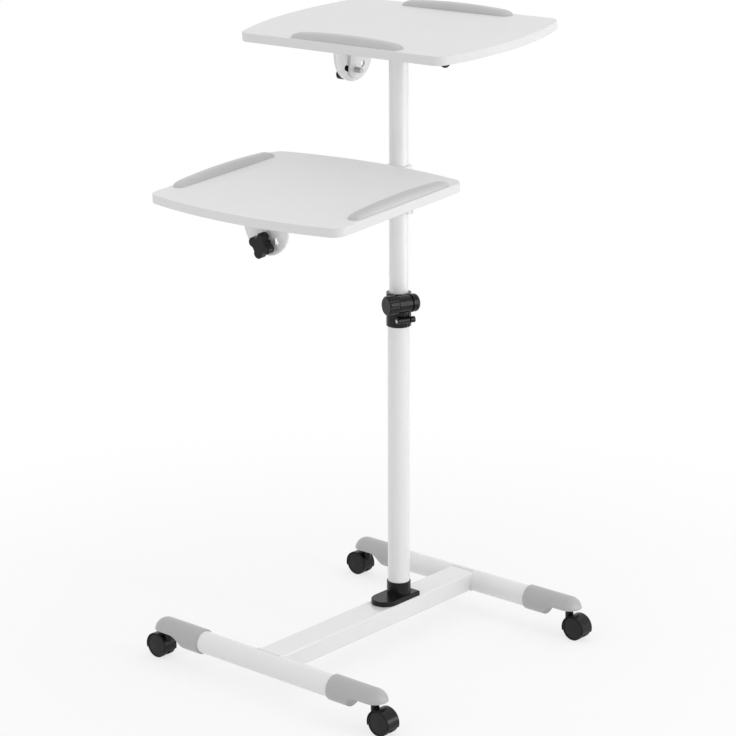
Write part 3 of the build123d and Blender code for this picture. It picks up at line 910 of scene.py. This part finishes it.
class STAND_OT_welds(bpy.types.Operator):
    """Lay weld beads where the tubes and tabs are joined"""

    bl_idname = "stand.welds"
    bl_label = "Weld Beads"

    def execute(self, context):
        fixings = context.scene.stand_fixings
        material = finish_named("White Powder Coat")
        for rail, toward in (("rail_near", 1), ("rail_far", -1)):
            bm = bmesh.new()
            weld(bm, self.rail_path(rail, toward), fixings.bead, fixings.ripple)
            new_piece(rail + "_weld", bm, "base", material)
        bm = bmesh.new()
        weld(bm, self.tab_path("upper"), fixings.bead, fixings.ripple)
        for side in (-1, 1):
            weld(bm, self.mast_path(side), fixings.bead, fixings.ripple, closed=False)
        new_piece("upper_bar_welds", bm, "mast", material)
        bm = bmesh.new()
        weld(bm, self.tab_path("lower"), fixings.bead, fixings.ripple)
        weld(bm, self.sleeve_path(), fixings.bead, fixings.ripple)
        new_piece("lower_bar_welds", bm, "lower_arm", material)
        return {"FINISHED"}

    def tab_path(self, shelf):
        """Round a head's bar, where its end meets the tab."""
        place = shelf_frame(shelf)
        low, high = extent(place, shelf + "_bar")
        end = place @ Matrix.Translation((low.x, 0, 0)) @ Matrix.Rotation(math.pi / 2, 4, "Y")
        return ring(end, (high.y - low.y) / 2 - BEAD_SINK, 0.0, BAR_WELD_STEPS)

    def mast_path(self, side):
        """Under the upper bar on one side, where it lies in the top of the mast."""
        low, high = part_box("upper_bar")
        axis_y, axis_z = (low.y + high.y) / 2, (low.z + high.z) / 2
        bar_r = (high.z - low.z) / 2
        mast_low, mast_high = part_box("mast_tube")
        mast_r = (mast_high.x - mast_low.x) / 2 - BEAD_SINK
        path = []
        for i in range(MAST_WELD_STEPS + 1):
            turn = math.pi * i / MAST_WELD_STEPS
            y = bar_r * math.cos(turn)
            x = side * math.sqrt(mast_r ** 2 - y ** 2)
            path.append(Vector((COLUMN.x + x, axis_y + y, axis_z - bar_r * math.sin(turn))))
        return path

    def sleeve_path(self):
        """Round the lower bar, where it meets the side of the sleeve."""
        place = shelf_frame("lower")
        low, high = extent(place, "lower_bar")
        sleeve_low, sleeve_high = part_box("lower_sleeve")
        sleeve_r = (sleeve_high.y - sleeve_low.y) / 2
        along = place.to_3x3() @ Vector((1, 0, 0))
        flat = Vector((along.x, along.y, 0))
        section = place @ Matrix.Rotation(math.pi / 2, 4, "Y")
        path = []
        for point in ring(section, (high.y - low.y) / 2 - BEAD_SINK, 0.0, BAR_WELD_STEPS):
            out = Vector((point.x - COLUMN.x, point.y - COLUMN.y, 0))
            half_b = out.dot(flat) / flat.dot(flat)
            rest = (out.dot(out) - sleeve_r ** 2) / flat.dot(flat)
            meet = point + along * (-half_b - math.sqrt(half_b ** 2 - rest))
            meet.z = min(meet.z, sleeve_high.z)
            path.append(meet)
        return path

    def rail_path(self, rail, toward):
        """Round the crossbar's section, where it meets the side of a rail."""
        low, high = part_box(rail)
        bar_low, bar_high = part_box("crossbar")
        axis_y, axis_z = (low.y + high.y) / 2, (low.z + high.z) / 2
        radius = (high.z - low.z) / 2
        half_x, half_z = (bar_high.x - bar_low.x) / 2, (bar_high.z - bar_low.z) / 2
        middle_z = (bar_high.z + bar_low.z) / 2
        near_zero = 1e-6
        path = []
        for i in range(CROSSBAR_WELD_STEPS):
            turn = TURN * i / CROSSBAR_WELD_STEPS
            to_side = half_x / max(abs(math.cos(turn)), near_zero)
            to_top = half_z / max(abs(math.sin(turn)), near_zero)
            reach = min(to_side, to_top)
            x = reach * math.cos(turn)
            z = middle_z + reach * math.sin(turn)
            out = math.sqrt(max(radius ** 2 - (z - axis_z) ** 2, 0.0))
            path.append(Vector((x, axis_y + toward * out, z)))
        return path


class STAND_OT_stage(bpy.types.Operator):
    """Set the floor, the even light, three tall soft lights and the camera"""

    bl_idname = "stand.stage"
    bl_label = "Stage"

    def execute(self, context):
        stage = context.scene.stand_stage
        context.scene.view_settings.view_transform = "Standard"
        self.floor(stage)
        self.sky(context.scene, stage)
        target = Vector((COLUMN.x, COLUMN.y, stage.aim))
        self.soft_light("Key", stage.key, Vector(stage.key_place), target, stage.key_panel)
        self.soft_light("Strip", stage.strip, Vector(stage.strip_place), target, stage.strip_panel)
        self.soft_light("Rim", stage.rim, Vector(stage.rim_place), target, stage.rim_panel)
        self.camera(context.scene, stage)
        return {"FINISHED"}

    def seen(self, tree):
        """1 for what the camera sees, straight, mirrored or through glass."""
        path = tree.nodes.new("ShaderNodeLightPath")
        both = math_node(tree, "MAXIMUM", path.outputs["Is Camera Ray"], path.outputs["Is Glossy Ray"])
        return math_node(tree, "MAXIMUM", both, path.outputs["Is Transmission Ray"])

    def floor(self, stage):
        """Pale floor that keeps its shadow near the stand and fades to white away from it."""
        half = stage.floor / 2
        mesh = bpy.data.meshes.new("floor")
        corners = [(-half, -half, 0), (half, -half, 0), (half, half, 0), (-half, half, 0)]
        mesh.from_pydata(corners, [], [(0, 1, 2, 3)])
        floor = bpy.data.objects.new("floor", mesh)
        bpy.context.scene.collection.objects.link(floor)
        material, tree, shader = new_finish("Floor")
        shader.inputs["Base Color"].default_value = opaque(stage.floor_tone)
        shader.inputs["Roughness"].default_value = 0.9
        shader.inputs["Specular IOR Level"].default_value = 0.0
        glow = tree.nodes.new("ShaderNodeEmission")
        away = vector_node(tree, "LENGTH", coordinates(tree, "Object"))
        fade = tree.nodes.new("ShaderNodeMapRange")
        fade.interpolation_type = "SMOOTHSTEP"
        fade.inputs["From Min"].default_value = stage.fade_start
        fade.inputs["From Max"].default_value = stage.fade_end
        fade.inputs["To Min"].default_value = stage.veil
        fade.inputs["To Max"].default_value = 1.0
        tree.links.new(away.outputs["Value"], fade.inputs["Value"])
        mix = tree.nodes.new("ShaderNodeMixShader")
        tree.links.new(math_node(tree, "MULTIPLY", fade.outputs[0], self.seen(tree)), mix.inputs[0])
        tree.links.new(shader.outputs[0], mix.inputs[1])
        tree.links.new(glow.outputs[0], mix.inputs[2])
        tree.links.new(mix.outputs[0], tree.nodes["Material Output"].inputs["Surface"])
        mesh.materials.append(material)

    def sky(self, scene, stage):
        """Even light that grows from the horizon to the zenith, in front of a white background."""
        world = bpy.data.worlds.new("Studio")
        world.use_nodes = True
        scene.world = world
        tree = world.node_tree
        light = tree.nodes["Background"]
        light.inputs["Color"].default_value = (1.0, 1.0, 1.0, 1.0)
        split = tree.nodes.new("ShaderNodeSeparateXYZ")
        tree.links.new(coordinates(tree, "Generated"), split.inputs[0])
        height = math_node(tree, "MAXIMUM", split.outputs["Z"], 0.0)
        glow = math_node(tree, "MULTIPLY_ADD", height, stage.zenith - stage.horizon, stage.horizon)
        tree.links.new(glow, light.inputs["Strength"])
        white = tree.nodes.new("ShaderNodeBackground")
        white.inputs["Color"].default_value = (1.0, 1.0, 1.0, 1.0)
        white.inputs["Strength"].default_value = 1.0
        mix = tree.nodes.new("ShaderNodeMixShader")
        tree.links.new(self.seen(tree), mix.inputs[0])
        tree.links.new(light.outputs[0], mix.inputs[1])
        tree.links.new(white.outputs[0], mix.inputs[2])
        tree.links.new(mix.outputs[0], tree.nodes["World Output"].inputs["Surface"])

    def soft_light(self, name, watts, place, target, panel):
        lamp = bpy.data.lights.new(name, "AREA")
        lamp.shape = "RECTANGLE"
        lamp.size = panel[0]
        lamp.size_y = panel[1]
        lamp.energy = watts
        light = bpy.data.objects.new(name, lamp)
        light.location = place
        light.rotation_euler = (target - place).to_track_quat("-Z", "Y").to_euler()
        bpy.context.scene.collection.objects.link(light)

    def camera(self, scene, stage):
        lens = bpy.data.cameras.new("Camera")
        lens.lens = lens.sensor_width * stage.focal / stage.picture
        camera = bpy.data.objects.new("Camera", lens)
        look = Matrix.Rotation(stage.yaw, 4, "Z") @ Matrix.Rotation(math.pi / 2 - stage.pitch, 4, "X")
        look = look @ Matrix.Rotation(stage.roll, 4, "Z")
        place = Vector((COLUMN.x + stage.camera_x, COLUMN.y + stage.camera_y, stage.camera_z))
        camera.matrix_world = Matrix.Translation(place) @ look
        scene.collection.objects.link(camera)
        scene.camera = camera


GROUPS = (StandFinishes, StandFixings, StandStage)
OPERATORS = (
    STAND_OT_white_metal,
    STAND_OT_boards,
    STAND_OT_end_caps,
    STAND_OT_ridges,
    STAND_OT_black_mouldings,
    STAND_OT_wheels,
    STAND_OT_steel,
    STAND_OT_clamp_screws,
    STAND_OT_base_bolt,
    STAND_OT_board_screws,
    STAND_OT_welds,
    STAND_OT_stage,
)


class STAND_PT_sidebar(bpy.types.Panel):
    """Sizes and steps of the stand"""

    bl_label = "Projector Stand"
    bl_idname = "STAND_PT_sidebar"
    bl_space_type = "VIEW_3D"
    bl_region_type = "UI"
    bl_category = "Stand"

    def draw(self, context):
        scene = context.scene
        for group in (scene.stand_finishes, scene.stand_fixings, scene.stand_stage):
            box = self.layout.box()
            for title in group.__annotations__:
                box.prop(group, title)
        for operator in OPERATORS:
            self.layout.operator(operator.bl_idname)


def register():
    for cls in GROUPS + OPERATORS + (STAND_PT_sidebar,):
        bpy.utils.register_class(cls)
    bpy.types.Scene.stand_finishes = PointerProperty(type=StandFinishes)
    bpy.types.Scene.stand_fixings = PointerProperty(type=StandFixings)
    bpy.types.Scene.stand_stage = PointerProperty(type=StandStage)


def unregister():
    del bpy.types.Scene.stand_stage
    del bpy.types.Scene.stand_fixings
    del bpy.types.Scene.stand_finishes
    for cls in reversed(GROUPS + OPERATORS + (STAND_PT_sidebar,)):
        bpy.utils.unregister_class(cls)


def main():
    register()
    bpy.ops.stand.white_metal()
    bpy.ops.stand.boards()
    bpy.ops.stand.end_caps()
    bpy.ops.stand.ridges()
    bpy.ops.stand.black_mouldings()
    bpy.ops.stand.wheels()
    bpy.ops.stand.steel()
    bpy.ops.stand.clamp_screws()
    bpy.ops.stand.base_bolt()
    bpy.ops.stand.board_screws()
    bpy.ops.stand.welds()
    bpy.ops.stand.stage()


if __name__ == "__main__":
    main()
